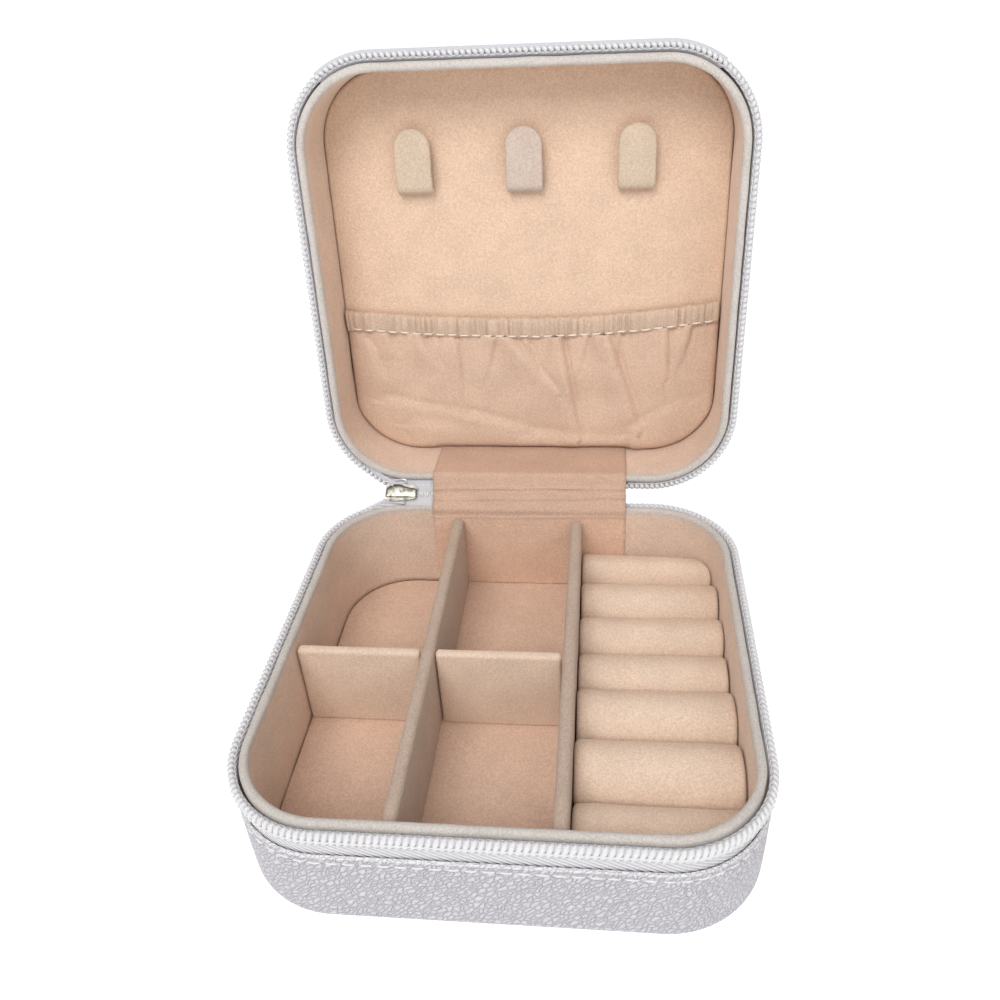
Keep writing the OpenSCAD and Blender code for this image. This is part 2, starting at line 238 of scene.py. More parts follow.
def ruffle(obj, size, depth, seed=0.0):
    """Moves each point along its normal by soft noise of that size."""
    shift = Vector((seed, -seed, seed))
    mesh = obj.data
    moved = []
    for v in mesh.vertices:
        moved.append(v.co + v.normal * (depth * noise.noise(v.co / size + shift)))
    mesh.vertices.foreach_set("co", [x for p in moved for x in p])
    mesh.update()
    return obj


def plate(name, inset, z0, z1, edge, matrix=None, rings=14):
    """Rounded-square pad with a soft upper edge."""
    stations = spread(0, ROUND, 2.5 * MM)[:-1]
    profile = [(inset, z0)] + arc((inset + edge, z1 - edge), edge, 180, 90, 5)
    verts, loops = [], []
    for d, z in profile:
        loops.append(len(verts))
        verts += [inset_at(s, d, z) for s in stations]
    last = verts[loops[-1]:]
    for k in range(1, rings):
        f = 1 - k / rings
        loops.append(len(verts))
        verts += [(x * f, y * f, z) for x, y, z in last]
    m = len(stations)
    faces = [
        (a + j, a + (j + 1) % m, b + (j + 1) % m, b + j)
        for a, b in zip(loops, loops[1:]) for j in range(m)
    ]
    faces.append(tuple(reversed(range(m))))
    centre = len(verts)
    verts.append((0, 0, z1))
    faces += [(loops[-1] + j, loops[-1] + (j + 1) % m, centre) for j in range(m)]
    uvs = [[(verts[i][0], verts[i][1]) for i in f] for f in faces]
    return outward(finish_mesh(name, verts, faces, uvs, matrix))


def round_section(w, h, r, steps=4):
    """Closed rounded rectangle round the origin, w by h."""
    points = []
    for cx, cy, a in ((1, 1, 0), (-1, 1, 90), (-1, -1, 180), (1, -1, 270)):
        points += arc((cx * (w / 2 - r), cy * (h / 2 - r)), r, a, a + 90, steps)
    return points


def slab(name, lo, hi, edge, along="y", step=2 * MM):
    """Board with soft edges, lofted along x or y."""
    mid, size = (lo + hi) / 2, hi - lo
    length = size.y if along == "y" else size.x
    width = size.x if along == "y" else size.y
    ends = [edge * (1 - math.cos(math.radians(a))) for a in (0, 30, 60)]
    ts = ends + spread(edge, length - edge, step) + [length - e for e in reversed(ends)]
    rings = []
    for t in ts:
        near = min(t, length - t, edge)
        pull = edge - math.sqrt(max(0.0, edge ** 2 - (edge - near) ** 2))
        w, h = width - 2 * pull, size.z - 2 * pull
        section = round_section(w, h, max(edge - pull * 0.6, 0.2 * MM))
        if along == "y":
            rings.append([Vector((mid.x + a, lo.y + t, mid.z + b)) for a, b in section])
        else:
            rings.append([Vector((lo.x + t, mid.y + a, mid.z + b)) for a, b in section])
    return outward(loft(name, rings))


def tube(points, radii, sides=8):
    """Rings of a tube along points, for loft or join_tubes."""
    rings = []
    side = Vector((0, 0, 1))
    for i, p in enumerate(points):
        ahead = (points[min(i + 1, len(points) - 1)] - points[max(i - 1, 0)]).normalized()
        if abs(ahead.dot(side)) > 0.95:
            side = Vector((1, 0, 0)) if abs(ahead.x) < 0.9 else Vector((0, 1, 0))
        a = ahead.cross(side).normalized()
        b = ahead.cross(a)
        side = -b if i and side.dot(-b) > 0 else b if i else -b
        rings.append([
            p + (a * math.cos(2 * math.pi * k / sides)
                 + b * math.sin(2 * math.pi * k / sides)) * radii[i]
            for k in range(sides)
        ])
    return rings


def join_tubes(name, tubes, matrix=None):
    """One mesh of many capped tubes."""
    verts, faces = [], []
    for rings in tubes:
        at, m = len(verts), len(rings[0])
        verts += [p for ring in rings for p in ring]
        for i in range(len(rings) - 1):
            for j in range(m):
                faces.append((at + i * m + j, at + i * m + (j + 1) % m,
                              at + (i + 1) * m + (j + 1) % m, at + (i + 1) * m + j))
        faces.append(tuple(at + j for j in reversed(range(m))))
        top = at + (len(rings) - 1) * m
        faces.append(tuple(top + j for j in range(m)))
    return finish_mesh(name, verts, faces, None, matrix)


# --------------------------------------------------------------------------- materials

class Nodes:
    """A short way to write a material's node tree."""

    def __init__(self, name):
        self.material = bpy.data.materials.new(name)
        self.material.use_nodes = True
        self.tree = self.material.node_tree
        self.shader = self.tree.nodes["Principled BSDF"]

    def add(self, kind, **settings):
        node = self.tree.nodes.new(kind)
        for key, value in settings.items():
            setattr(node, key, value)
        return node

    def link(self, out, into):
        self.tree.links.new(out, into)

    def set(self, **values):
        """Sets the shader's own sockets."""
        for key, value in values.items():
            self.shader.inputs[key.replace("_", " ")].default_value = value

    def math(self, operation, *values):
        node = self.add("ShaderNodeMath", operation=operation)
        for socket, value in zip(node.inputs, values):
            if isinstance(value, (int, float)):
                socket.default_value = value
            else:
                self.link(value, socket)
        return node.outputs[0]

    def noise(self, where, scale, detail=2.0, rough=0.5):
        node = self.add("ShaderNodeTexNoise")
        self.link(where, node.inputs["Vector"])
        node.inputs["Scale"].default_value = scale
        node.inputs["Detail"].default_value = detail
        node.inputs["Roughness"].default_value = rough
        return node.outputs[0]

    def ramp(self, value, stops):
        node = self.add("ShaderNodeValToRGB")
        self.link(value, node.inputs[0])
        while len(node.color_ramp.elements) < len(stops):
            node.color_ramp.elements.new(0.5)
        for element, (at, colour) in zip(node.color_ramp.elements, stops):
            element.position = at
            element.color = (*colour, 1)
        return node.outputs[0]

    def mix(self, share, a, b):
        node = self.add("ShaderNodeMix", data_type="RGBA")
        for socket, value in ((node.inputs["Factor"], share), (node.inputs[6], a),
                              (node.inputs[7], b)):
            if isinstance(value, tuple):
                socket.default_value = (*value, 1)
            elif isinstance(value, (int, float)):
                socket.default_value = value
            else:
                self.link(value, socket)
        return node.outputs[2]

    def bump(self, height, distance, strength=1.0, after=None):
        node = self.add("ShaderNodeBump")
        node.inputs["Strength"].default_value = strength
        node.inputs["Distance"].default_value = distance
        self.link(height, node.inputs["Height"])
        if after is not None:
            self.link(after, node.inputs["Normal"])
        return node.outputs[0]

    def where(self, kind="Object"):
        return self.add("ShaderNodeTexCoord").outputs[kind]

    def split(self, where):
        """The three parts of a place."""
        node = self.add("ShaderNodeSeparateXYZ")
        self.link(where, node.inputs[0])
        return node.outputs

    def done(self, colour, normal):
        self.link(colour, self.shader.inputs["Base Color"])
        self.link(normal, self.shader.inputs["Normal"])
        return self.material


def shade(colour, factor):
    return tuple(min(1.0, c * factor) for c in colour)


def velvet(name, colour, sheen=0.25, contrast=0.13, wall=None, wall_z=None):
    """Short-pile velvet: fine mottled pile, soft brushed blotches and a pale sheen.

    wall, if given, is a second colour for the part under the rim: below the height wall_z,
    or where the UV's v is below 0. The step between the two colours is painted light.
    """
    n = Nodes(name)
    at = n.where()
    pile = n.noise(at, 4200, 2, 0.7)
    clumps = n.noise(at, 2000, 2, 0.6)
    brushed = n.noise(at, 130, 2)
    # painted light: under the rim the colour blends into wall, which stands in for the wall's other
    # light
    if wall is not None:
        height = n.split(at)[2] if wall_z else n.split(n.where("UV"))[1]
        under = n.add("ShaderNodeMapRange", interpolation_type="SMOOTHSTEP")
        n.link(height, under.inputs["Value"])
        under.inputs["From Min"].default_value = (wall_z or 0) - 1.6 * MM
        under.inputs["From Max"].default_value = (wall_z or 0) + 0.7 * MM

    def tone_with_painted_light(factor):
        if wall is None:
            return shade(colour, factor)
        return n.mix(under.outputs[0], shade(wall, factor), shade(colour, factor))

    grain = n.math("ADD", n.math("MULTIPLY", pile, 1.7), n.math("MULTIPLY", clumps, 1.3))
    grain = n.math("ADD", grain, n.math("MULTIPLY", brushed, 0.5))
    share = n.math("MULTIPLY_ADD", grain, 1.7, -2.5)
    mottled = n.mix(share, tone_with_painted_light(1 - contrast), tone_with_painted_light(1 + contrast))
    n.set(Roughness=0.95, Sheen_Weight=sheen, Sheen_Roughness=0.4, Specular_IOR_Level=0.15)
    n.shader.inputs["Sheen Tint"].default_value = (1.0, 0.93, 0.86, 1)
    up = n.bump(clumps, 0.16 * MM, 0.7, n.bump(pile, 0.08 * MM, 0.8))
    return n.done(mottled, up)


def pebbled_leather(name, border=0.0):
    """Plain pebbled off-white leather. border is the depth of the folded edge at v = 0."""
    n = Nodes(name)
    at = n.where()
    # pebbles with sharp creases between them, drawn out a little
    cells = n.add("ShaderNodeTexVoronoi", feature="DISTANCE_TO_EDGE")
    warp = n.add("ShaderNodeMix", data_type="VECTOR")
    warp.inputs["Factor"].default_value = 0.0012
    n.link(at, warp.inputs[4])
    soft = n.add("ShaderNodeTexNoise")
    n.link(at, soft.inputs["Vector"])
    soft.inputs["Scale"].default_value = 700
    n.link(soft.outputs[1], warp.inputs[5])
    turn = n.add("ShaderNodeMapping")
    turn.inputs["Rotation"].default_value = (0.3, 0.75, 0.6)
    draw = n.add("ShaderNodeMapping")
    draw.inputs["Scale"].default_value = (0.4, 1.0, 1.0)
    n.link(warp.outputs[1], turn.inputs["Vector"])
    n.link(turn.outputs[0], draw.inputs["Vector"])
    n.link(draw.outputs[0], cells.inputs["Vector"])
    cells.inputs["Scale"].default_value = 1150
    edge = n.ramp(cells.outputs["Distance"],
                  [(0.0, (0, 0, 0)), (0.13, (0.5, 0.5, 0.5)), (0.45, (1, 1, 1))])
    fine = n.noise(at, 3600, 2)
    grain = n.math("MULTIPLY_ADD", fine, 0.15, edge)
    # the colour is darker in the creases between pebbles: painted crease shade
    pale = n.mix(edge, (0.42, 0.41, 0.45), (0.61, 0.60, 0.64))
    if border > 0:
        rolled = n.math("LESS_THAN", n.split(n.where("UV"))[1], 0.5 * border)
        pale = n.mix(rolled, pale, (0.70, 0.69, 0.72))
    n.set(Roughness=0.45, Specular_IOR_Level=0.4, Coat_Weight=0.1, Coat_Roughness=0.3)
    return n.done(pale, n.bump(grain, 0.3 * MM))


def twill(name, colour, rib_pitch=0.95 * MM, thread_pitch=0.4 * MM):
    """Tape woven in fine diagonal ribs."""
    n = Nodes(name)
    u, v, _ = n.split(n.where("UV"))
    across = n.math("ADD", n.math("MULTIPLY", u, -0.55), v)
    ribs = n.math("SINE", n.math("MULTIPLY", across, 2 * math.pi / rib_pitch))
    threads = n.math("SINE", n.math("MULTIPLY", u, 2 * math.pi / thread_pitch))
    height = n.math("MULTIPLY_ADD", threads, 0.25, ribs)
    # the colour follows the rib height, darker in the grooves and lighter on the crests: painted shade
    # and highlight
    colour = n.mix(n.math("MULTIPLY_ADD", height, 0.35, 0.5), shade(colour, 0.72), shade(colour, 1.12))
    n.set(Roughness=0.8, Sheen_Weight=0.15)
    return n.done(colour, n.bump(height, 0.12 * MM, 0.9))


def plastic(name, colour, rough, size):
    """Smooth moulded or drawn plastic with faint clouding."""
    n = Nodes(name)
    cloud = n.noise(n.where(), size, 2)
    n.set(Roughness=rough, Specular_IOR_Level=0.5)
    tone = n.mix(cloud, shade(colour, 0.93), shade(colour, 1.05))
    return n.done(tone, n.bump(cloud, 0.02 * MM, 0.3))


def bright_metal(name, lift=1.0):
    """Dark zinc plating; its colour is mottled by noise as painted reflections, and lift above 1
    lightens it as a painted highlight. The same noise clouds the roughness.
    """
    n = Nodes(name)
    clouding_and_painted_reflections = n.noise(n.where(), 650, 4, 0.6)
    n.set(Metallic=1.0, Specular_IOR_Level=0.5)
    rough = n.math("MULTIPLY_ADD", clouding_and_painted_reflections, 0.25, 0.12)
    n.link(rough, n.shader.inputs["Roughness"])
    # painted reflections: the colour ramp follows the clouding noise, lightened by lift as a painted
    # highlight
    zinc_and_reflection_tones = [(0.36, (0.05, 0.045, 0.04)), (0.48, (0.14, 0.135, 0.115)), (0.62, (0.22, 0.215, 0.19))]
    colour = n.ramp(clouding_and_painted_reflections, [(stop, shade(tone, lift)) for stop, tone in zinc_and_reflection_tones])
    return n.done(colour, n.bump(clouding_and_painted_reflections, 0.05 * MM, 0.6))


def card(name, colour):
    """Pressed board with flecks."""
    n = Nodes(name)
    flecks = n.noise(n.where(), 1500, 4, 0.7)
    n.set(Roughness=0.9)
    tone = n.mix(flecks, shade(colour, 0.8), shade(colour, 1.15))
    return n.done(tone, n.bump(flecks, 0.05 * MM, 0.5))


PEACH = (0.72, 0.535, 0.405)
MAT = {
    "velvet": velvet("velvet", PEACH),
    "floor": velvet("floor_velvet", (0.72, 0.52, 0.405)),
    "roll": velvet("roll_velvet", (0.72, 0.565, 0.45)),
    # strip: darker where it faces the light over the rims, lighter down the base's back wall in shade:
    # painted light
    "strip": velvet("strip_velvet", (0.58, 0.40, 0.305), sheen=0.2, wall=(0.74, 0.515, 0.39),
                    wall_z=RIM_Z - 1.5 * MM),
    # rim: greyer on the sky-lit crest, peach on the inner wall lit by bounce light: painted light
    "rim": velvet("rim_velvet", (0.56, 0.525, 0.495), wall=(0.72, 0.56, 0.455)),
    "divider": velvet("divider_velvet", (0.49, 0.385, 0.315)),
    "hook": velvet("hook_velvet", (0.60, 0.49, 0.38), sheen=0.1),
    "hook_grey": velvet("hook_grey_velvet", (0.57, 0.475, 0.41), sheen=0.1),
    "cloth": velvet("pocket_cloth", (0.66, 0.48, 0.37), sheen=0.0, contrast=0.12),
    "hem": velvet("hem_cloth", (0.62, 0.475, 0.37), sheen=0.05, contrast=0.12),
    "leather": pebbled_leather("pebbled_leather", 1.6 * MM),
    "leather_flat": pebbled_leather("pebbled_leather_flat"),
    "twill": twill("zip_twill", (0.70, 0.70, 0.735)),
    "coil": plastic("coil_nylon", (0.70, 0.70, 0.715), 0.35, 900),
    "thread": twill("sewing_thread", (0.76, 0.755, 0.77)),
    "cord": twill("coil_cord", (0.62, 0.62, 0.68)),
    "stitch": twill("pocket_thread", (0.90, 0.80, 0.70)),
    "metal": bright_metal("plated_metal"),
    # a lighter copy of the same metal for the slider's face: painted highlight
    "lit_face_metal": bright_metal("slider_face_painted_highlight", 1.25),
    "closed": plastic("closed_tape", (0.57, 0.57, 0.60), 0.6, 700),
    "card": card("pressed_board", (0.42, 0.36, 0.29)),
}


def paint(obj, key):
    obj.data.materials.clear()
    obj.data.materials.append(MAT[key])
    return obj


def place(obj, key, body, slot, *nodes):
    """Paints a piece, sets what it rides on and which nodes it stands for."""
    paint(obj, key)
    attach(obj, body)
    if nodes:
        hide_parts(*nodes)
    return obj


# ------------------------------------------------------- the two halves of the case

# The seam along the leather's upper edge: how far below the edge, and stitch to stitch
SEAM_DOWN = 1.9 * MM
STITCH_PITCH = 3.05 * MM


def leather_profile(fold):
    """Leather band from its folded upper edge down and round to its turned-in lip."""
    fold_r = 0.45 * MM
    top = fold - fold_r
    soft = (LIP_IN, LIP_IN - LEATHER_IN)
    groove = fold - SEAM_DOWN
    outer = arc((LEATHER_IN + fold_r, top), fold_r, 90, 180, 6)
    outer += [(LEATHER_IN - 0.05 * MM, groove + 0.5 * MM), (LEATHER_IN + 0.14 * MM, groove),
              (LEATHER_IN - 0.02 * MM, groove - 0.5 * MM), (LEATHER_IN - 0.1 * MM, fold * 0.55),
              (LEATHER_IN - 0.05 * MM, fold * 0.3)]
    outer += arc(soft, soft[1], 180, 270, 10)
    inner = arc(soft, soft[1] - LEATHER_T, 270, 180, 8)
    inner += [(LEATHER_IN + LEATHER_T, top)]
    return outer + inner


WALL_STEPS = 12


def frame_profile(top, foot):
    """Lining frame with a round rim, from its inner foot up and over."""
    crest = arc((RIM_IN + RIM_R, top - RIM_R), RIM_R, 0, 180, 12)
    inside = [(INNER_IN, foot + (top - RIM_R - foot) * i / WALL_STEPS) for i in range(WALL_STEPS)]
    return inside + crest + [(RIM_IN, top - 5 * MM), (RIM_IN, foot)]


# A stitch as shares: along its length, then its lift and its thickness in radii
STITCH = [(-0.5, -0.6, 0.5), (-0.36, 0.1, 0.9), (0, 0.35, 1), (0.36, 0.1, 0.9), (0.5, -0.6, 0.5)]


def stitches(name, stations, inset, z, length, radius, matrix=None):
    """Row of short raised stitches round the outline."""
    rows = []
    for s in stations:
        points = [inset_at(s + t * length, inset - lift * radius, z) for t, lift, _ in STITCH]
        rows.append(tube(points, [radius * r for _, _, r in STITCH]))
    return join_tubes(name, rows, matrix)


def press_rim(lining):
    """Presses the velvet rim in where the slider swings past it."""
    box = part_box("zip_slider")
    for v in lining.data.vertices:
        off = Vector((0, v.co.y - HINGE.y, v.co.z - HINGE.z))
        ends = min(v.co.x - (box[0].x - 4.4 * MM), box[1].x + 0.4 * MM - v.co.x)
        reach = 4.75 * MM + min(ends, 0) * 0.8
        if off.length < reach:
            v.co = Vector((v.co.x, HINGE.y, HINGE.z)) + off.normalized() * reach


def build_case_half(body, top, fold, foot, matrix):
    """Leather, stitching and lining frame of the base or the lid."""
    around = spread(0, ROUND, 1.5 * MM)
    leather = sweep(body + "_leather_band", leather_profile(fold), around, loop=True, matrix=matrix)
    place(leather, "leather", body, "leather", body + "_cover_band")
    seam = spread(0, ROUND, STITCH_PITCH)[:-1]
    row = stitches(body + "_edge_stitches", seam, LEATHER_IN + 0.1 * MM, fold - SEAM_DOWN,
                   2.3 * MM, 0.2 * MM, matrix)
    place(row, "thread", body, "zip_tape")
    lining = sweep(body + "_lining", frame_profile(top, foot), around, loop=True, matrix=matrix,
                   v_from=WALL_STEPS)
    ruffle(lining, 6 * MM, 0.12 * MM, 3.0 if body == "lid" else 0.0)
    if body == "base":
        press_rim(lining)
    place(lining, "rim", body, "rim_velvet", body + "_lining_frame")


build_case_half("base", RIM_Z, FOLD_Z, FRAME_FOOT_Z, None)
build_case_half("lid", LID_H, LID_FOLD, LID_FRAME_FOOT, TO_LID)

FACE_DOWN = Matrix.Scale(-1, 4, (0, 0, 1))
for side, node, matrix in (("base", "base_cover_bottom", FACE_DOWN),
                           ("lid", "lid_cover_top", TO_LID @ FACE_DOWN)):
    flat = plate(side + "_leather_flat", LIP_IN - 0.02 * MM, -LEATHER_T, 0.0, 0.3 * MM, matrix)
    place(flat, "leather_flat", side, "leather", node)

# ------------------------------------------------------------------------- the tray

floor_pad = plate("floor_velvet", INNER_IN + 0.05 * MM, FLOOR_Z - 0.5 * MM, FLOOR_Z, 0.35 * MM)
place(ruffle(floor_pad, 9 * MM, 0.1 * MM), "floor", "base", "velvet", "base_floor_pad")

for node, body, edge, along, key in (
    ("divider_long_left", "base", 1.1 * MM, "y", "divider"),
    ("divider_long_right", "base", 1.1 * MM, "y", "divider"),
    ("divider_cross_left", "divider_left", 0.8 * MM, "x", "roll"),
    ("divider_cross_mid", "divider_mid", 0.8 * MM, "x", "roll"),
):
    lo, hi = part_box(node)
    piece = slab(node + "_velvet", lo, hi, edge, along)
    ruffle(piece, 7 * MM, 0.1 * MM, lo.x * 100)
    place(piece, key, body, "rim_velvet" if key == "divider" else "velvet", node)

# Rolls from back to front: how much fuller the right end is than the left
ROLL_SWELL = [-0.05, 0.03, 0.05, 0.05, 0.03, 0.02, 0.0]


def inside_corner(y, inset):
    """Greatest x inside the case's outline at y."""
    past = abs(y) - CORNER_AT
    if past <= 0:
        return HALF - inset
    r = CORNER_R - inset
    return CORNER_AT + math.sqrt(max(r ** 2 - past ** 2, 0.0))


def roll(i):
    """Velvet roll: round on top, pressed flat against its neighbours, with soft ends."""
    node = f"ring_roll_{i + 1}"
    lo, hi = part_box(node)
    r = (hi.z - lo.z + 0.3 * MM) / 2
    tops = [v.co.y for v in frame["nodes"][node].data.vertices if v.co.z > hi.z - 0.05 * MM]
    mid_y = sum(tops) / len(tops)
    rings = []
    end_r = 1.2 * MM
    ts = [0, 0.1, 0.35, 0.7, 1.0]
    length = hi.x - lo.x
    xs = [end_r * t for t in ts] + spread(end_r, length - end_r, 1.2 * MM)[1:-1]
    xs += [length - end_r * t for t in reversed(ts)]
    for x in xs:
        near = min(x, length - x, end_r) / end_r
        size = 1 - 0.14 * (1 - math.sqrt(1 - (1 - near) ** 2))
        size *= 1 + ROLL_SWELL[i] * (x / length - 0.5)
        ring = []
        for k in range(56):
            a = 2 * math.pi * k / 56
            half = hi.y - mid_y if math.cos(a) > 0 else mid_y - lo.y
            y = mid_y + (min(half, r) - 0.03 * MM) * size * math.cos(a)
            z = lo.z + r - 0.3 * MM + r * size * math.sin(a)
            z = max(z, lo.z + 0.05 * MM)
            if i == 0:
                up = smooth((lo.x + x - 33 * MM) / (9 * MM))
                y, z = y - 1.5 * MM * up, z + 0.9 * MM * up
            reach = min(hi.x, inside_corner(y, INNER_IN + 0.3 * MM)) - lo.x
            ring.append(Vector((lo.x - 0.25 * MM + x * (reach + 0.25 * MM) / length, y, z)))
        rings.append(ring)
    piece = outward(loft(f"roll_velvet_{i + 1}", rings))
    ruffle(piece, 8 * MM, 0.22 * MM, 1.7 * i)
    place(piece, "roll", "base", "velvet", node)


for i in range(7):
    roll(i)

# --------------------------------------------------------------------- the lid's inside

panel = plate("lid_panel_velvet", PANEL_IN - 0.18 * MM, PANEL_Z0, PANEL_Z1, 0.9 * MM, TO_LID)
place(ruffle(panel, 12 * MM, 0.12 * MM, 5.0), "velvet", "lid", "velvet", "lid_panel")


def lid_points(node):
    """A lid node's vertices, as they are drawn before TO_LID."""
    return [TO_LID.inverted() @ v.co for v in frame["nodes"][node].data.vertices]


def hook(node, seed):
    """J-shaped velvet tab: off the panel, round a fold and up to a round tip."""
    lo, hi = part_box(node)
    x, w = (lo.x + hi.x) / 2, hi.x - lo.x
    back = lid_points(node)
    y_fold, y_tip = max(p.y for p in back), min(p.y for p in back)
    z_top = max(p.z for p in back)
    t = 1.25 * MM
    mid_z = z_top - t / 2
    fold_r = 1.3 * MM
    tip_r = w / 2
    # centre line, as (y, z), with the half width there
    y_mid = y_fold - t / 2
    line = [(y_mid, PANEL_Z1 - 0.3 * MM, tip_r), (y_mid, mid_z - fold_r - 0.3 * MM, tip_r)]
    line += [(y, z, tip_r) for y, z in arc((y_mid - fold_r, mid_z - fold_r), fold_r, 0, 90)]
    tip_y = y_tip + tip_r
    line += [(y, mid_z, tip_r) for y in spread(y_mid - fold_r - 1 * MM, tip_y, 1 * MM)]
    for k in range(1, 9):
        a = math.radians(90 * k / 8.4)
        line.append((tip_y - tip_r * math.sin(a), mid_z, tip_r * math.cos(a)))
    rings = []
    for k, (y, z, half) in enumerate(line):
        y0, z0 = line[max(k - 1, 0)][:2]
        y1, z1 = line[min(k + 1, len(line) - 1)][:2]
        d = Vector((0, y1 - y0, z1 - z0)).normalized()
        up = Vector((1, 0, 0)).cross(d)
        thick = t * (1 if half > 1.5 * MM else 0.8)
        section = round_section(2 * half, thick, min(0.5 * MM, half * 0.9, thick * 0.45), 3)
        rings.append([Vector((x, y, z)) + Vector((a, 0, 0)) + up * b for a, b in section])
    piece = outward(loft(node + "_velvet", rings, matrix=TO_LID))
    ruffle(piece, 3 * MM, 0.14 * MM, seed)
    place(piece, "hook_grey" if node.endswith("mid") else "hook", "lid", "hook_velvet", node)


for k, place_name in enumerate(("left", "mid", "right")):
    hook("necklace_hook_" + place_name, 4.0 + k)

# ------------------------------------------------------------------------ the pocket

HEM = lid_points("pocket_hem")
HEM_Y0, HEM_Y1 = min(p.y for p in HEM), max(p.y for p in HEM)
POCKET_HALF = max(p.x for p in HEM)
# Creases of the cloth as (x, down) to (x, down) from the hem's seam, then height and width, in mm
CREASES = [
    (-28, 0, -23, 10, 0.8, 1.0), (-18.5, 2, -18, 15, 0.6, 0.8), (-36, 1, -34, 7, 0.6, 0.9),
    (-6, 0, 6, 15, 0.9, 1.1), (-9, 0, -11, 9, 0.6, 0.8), (7, 0, 11.7, 28, 1.2, 1.0),
    (14, 0, 12, 9, 0.5, 0.8), (18.5, 0, 27, 27, 1.2, 1.1), (22, 0, 21, 8, 0.5, 0.7),
    (33, 0, 33.4, 13, 0.7, 0.9), (39, 0, 37, 9, 0.6, 0.8), (27, 27, 38, 22, 0.35, 1.8),
    (-37, 20, -15, 23, 0.4, 1.7), (-15, 23, 2, 28, 0.35, 1.8), (2, 28, 22, 31, 0.3, 2.0),
    (-30, 26, -10, 28, 0.2, 2.0), (-41, 4, -38, 14, 0.5, 1.0), (0, 3, 1.5, 8, 0.5, 0.7),
]


def crease_height(x, down):
    """Height of all the creases at a point of the pocket cloth."""
    total = 0.0
    for x0, d0, x1, d1, high, wide in CREASES:
        run = ((x1 - x0) ** 2 + (d1 - d0) ** 2) or 1.0
        t = ((x - x0) * (x1 - x0) + (down - d0) * (d1 - d0)) / run
        t = min(max(t, 0.0), 1.0)
        off = math.hypot(x - x0 - t * (x1 - x0), down - d0 - t * (d1 - d0))
        side = (x - x0) * (d1 - d0) - (down - d0) * (x1 - x0)
        w = wide * (0.8 if side > 0 else 3.2) * (1 + 0.6 * t)
        high *= 1 - 0.6 * t * t
        total += high * math.exp(-((off / w) ** 2))
        if side > 0:
            total -= 0.4 * high * math.exp(-(((off - 1.5 * wide) / (0.6 * wide)) ** 2))
    return total


def hem_line(x):
    """How far the hem sags towards the hinge: most in the middle, least at the right."""
    t = x / POCKET_HALF
    sag = 1.3 * math.cos(math.pi * t / 2) - 1.7 * t * t - 0.8 * t * abs(t)
    return (sag + 0.25 * noise.noise(Vector((x / (5 * MM), 0, 3)))) * MM


def cloth_height(x, down):
    """Height of the pocket cloth above the panel, at distance down from the hem's seam."""
    tucks = noise.noise(Vector((x / (1.3 * MM), 4.0, 2.0))) * math.exp(-down / (2.5 * MM))
    soft = noise.noise(Vector((x / (9 * MM), down / (7 * MM), 1.0)))
    return (0.9 + 1.7 * crease_height(x / MM, down / MM) + 0.5 * soft + 0.5 * tucks) * MM


# The pocket's cloth is tucked down between the panel and the wall
CLOTH_IN = INNER_IN + 0.15 * MM


def pocket_rows():
    """Stations across the pocket, and how far down the cloth runs at each."""
    wide = HALF - CLOTH_IN
    xs = spread(-wide, wide, 0.5 * MM)
    corner = CORNER_R - CLOTH_IN
    rows = []
    for x in xs:
        past = abs(x) - CORNER_AT
        foot = HALF - CLOTH_IN - 0.55 * MM * smooth((HINGE_HALF + 2 * MM - abs(x)) / (1.5 * MM))
        if past > 0:
            foot -= corner - math.sqrt(max(corner ** 2 - past ** 2, 0.0))
        rows.append((x, foot))
    return rows


def build_pocket():
    """Gathered cloth from the hem's seam to the panel's lower edge."""
    seam_y = HEM_Y1
    steps = 66
    verts, faces = [], []
    rows = pocket_rows()
    for x, foot in rows:
        top = seam_y + hem_line(x)
        for j in range(steps + 1):
            t = j / steps
            y = top + (max(foot, top + 0.2 * MM) - top) * t
            edge = max(min(foot - y, HALF - CLOTH_IN - abs(x), 3 * MM) / (3 * MM), 0.0)
            lift = cloth_height(x, y - top) * math.sqrt(edge * (2 - edge))
            verts.append((x, y, PANEL_Z1 + 0.25 * MM + lift - 1.1 * MM * (1 - edge) ** 6))
    m = steps + 1
    for i in range(len(rows) - 1):
        for j in range(steps):
            faces.append((i * m + j, (i + 1) * m + j, (i + 1) * m + j + 1, i * m + j + 1))
    cloth = finish_mesh("pocket_cloth_front", verts, faces, None, TO_LID)
    thick = cloth.modifiers.new("cloth", "SOLIDIFY")
    thick.thickness = 0.35 * MM
    thick.offset = 0.0
    place(cloth, "cloth", "lid", "pocket_cloth", "lid_pocket")


def hem_height(x):
    """Height of the gathered hem above the panel: full between sharp tucks."""
    wide = abs(noise.noise(Vector((x / (1.5 * MM), 7.0, 0.3))))
    close = abs(noise.noise(Vector((x / (0.8 * MM), 2.0, 5.0))))
    return (1.7 + 0.9 * min(wide * 2.4, 1.0) + 0.4 * min(close * 2.6, 1.0)) * MM


